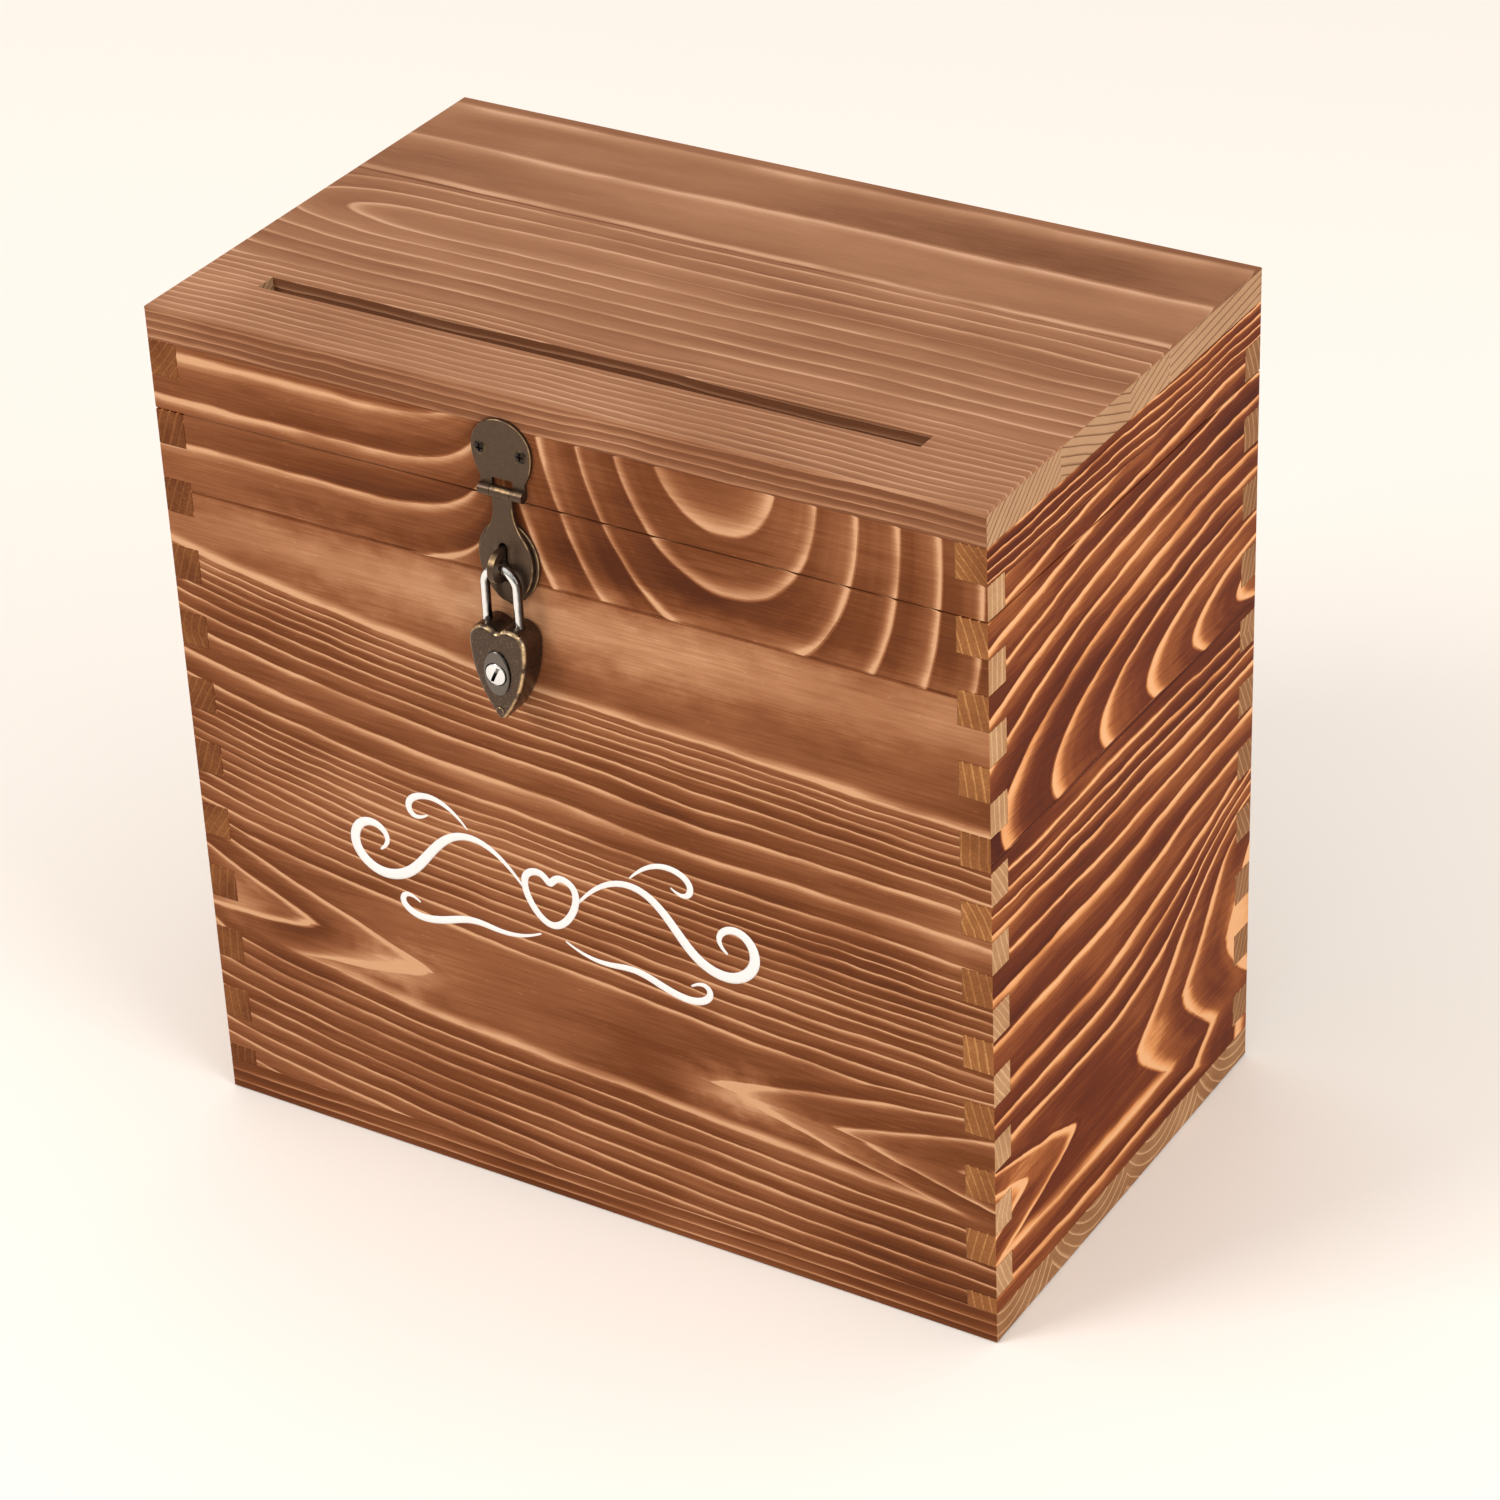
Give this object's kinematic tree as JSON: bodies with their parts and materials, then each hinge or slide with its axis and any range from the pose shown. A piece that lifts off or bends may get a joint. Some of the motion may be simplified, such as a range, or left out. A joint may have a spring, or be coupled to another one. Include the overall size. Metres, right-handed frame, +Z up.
{
  "type": "wedding card box",
  "caption": "Upright torched-pine card box with finger-jointed corners, a hinged lid with a card slot in its top, a front hasp and a heart padlock.",
  "frame": {"origin": "middle of the wooden box's footprint, on the underside that it stands on", "axes": "+Z up, +X to the right seen from the front, -Y out of the front that carries the hasp"},
  "size_m": [0.254, 0.1666, 0.254],
  "materials": {
    "torched_pine": "torched, brushed and thinly varnished softwood",
    "antique_bronze": "dark antique bronze plating, rubbed bright on the edges",
    "chrome_plate": "bright plating",
    "spring_steel": "plain drawn steel"
  },
  "bodies": {
    "box": {"front_panel": "torched_pine", "back_panel": "torched_pine", "left_panel": "torched_pine", "right_panel": "torched_pine", "bottom_board": "torched_pine", "left_hinge_body_leaf": "antique_bronze", "right_hinge_body_leaf": "antique_bronze", "left_hinge_pin": "antique_bronze", "right_hinge_pin": "antique_bronze", "hinge_body_screws": "antique_bronze", "staple_plate": "antique_bronze", "staple": "antique_bronze", "staple_plate_screws": "antique_bronze"},
    "lid": {"lid_front_rail": "torched_pine", "lid_back_rail": "torched_pine", "lid_left_rail": "torched_pine", "lid_right_rail": "torched_pine", "top_board": "torched_pine", "left_hinge_lid_leaf": "antique_bronze", "right_hinge_lid_leaf": "antique_bronze", "hinge_lid_screws": "antique_bronze", "hasp_plate": "antique_bronze", "hasp_pin": "antique_bronze", "hasp_plate_screws": "antique_bronze"},
    "tongue": {"hasp_tongue": "antique_bronze"},
    "shackle": {"padlock_shackle": "chrome_plate"},
    "lock_case": {"padlock_case": "antique_bronze", "padlock_back_plate": "antique_bronze", "padlock_rivet": "antique_bronze", "padlock_keeper_pin": "spring_steel", "padlock_rosette": "chrome_plate", "padlock_bolt_spring": "spring_steel"},
    "lock_plug": {"padlock_plug": "chrome_plate"},
    "lock_bolt": {"padlock_bolt": "spring_steel"}
  },
  "joints": [
    {"name": "lid_hinge", "type": "hinge", "parent": "box", "child": "lid", "pos_m": [0, 0.078, 0.2234], "axis": [-1, 0, 0], "range_deg": [0, 180]},
    {"name": "hasp_swing", "type": "hinge", "parent": "lid", "child": "tongue", "pos_m": [-0.014, -0.0779, 0.226], "axis": [-1, 0, 0], "range_deg": [0, 165]},
    {"name": "padlock_swing", "type": "hinge", "parent": "box", "child": "shackle", "pos_m": [-0.014, -0.0813, 0.206], "axis": [-1, 0, 0], "range_deg": [0, 90]},
    {"name": "padlock_release", "type": "slide", "parent": "shackle", "child": "lock_case", "axis": [0, 0, -1], "range_m": [0, 0.0073]},
    {"name": "key_turn", "type": "hinge", "parent": "lock_case", "child": "lock_plug", "pos_m": [-0.014, -0.0813, 0.17625], "axis": [0, -1, 0], "range_deg": [0, 90]},
    {"name": "bolt_slide", "type": "slide", "parent": "lock_case", "child": "lock_bolt", "axis": [-1, 0, 0], "range_m": [0, 0.003], "deforming": ["padlock_bolt_spring"]}
  ],
  "couplings": [
    {"joint": "key_turn", "follows": "padlock_release", "rad_per_m": 215.17},
    {"joint": "bolt_slide", "follows": "padlock_release", "ratio": 0.41095}
  ]
}
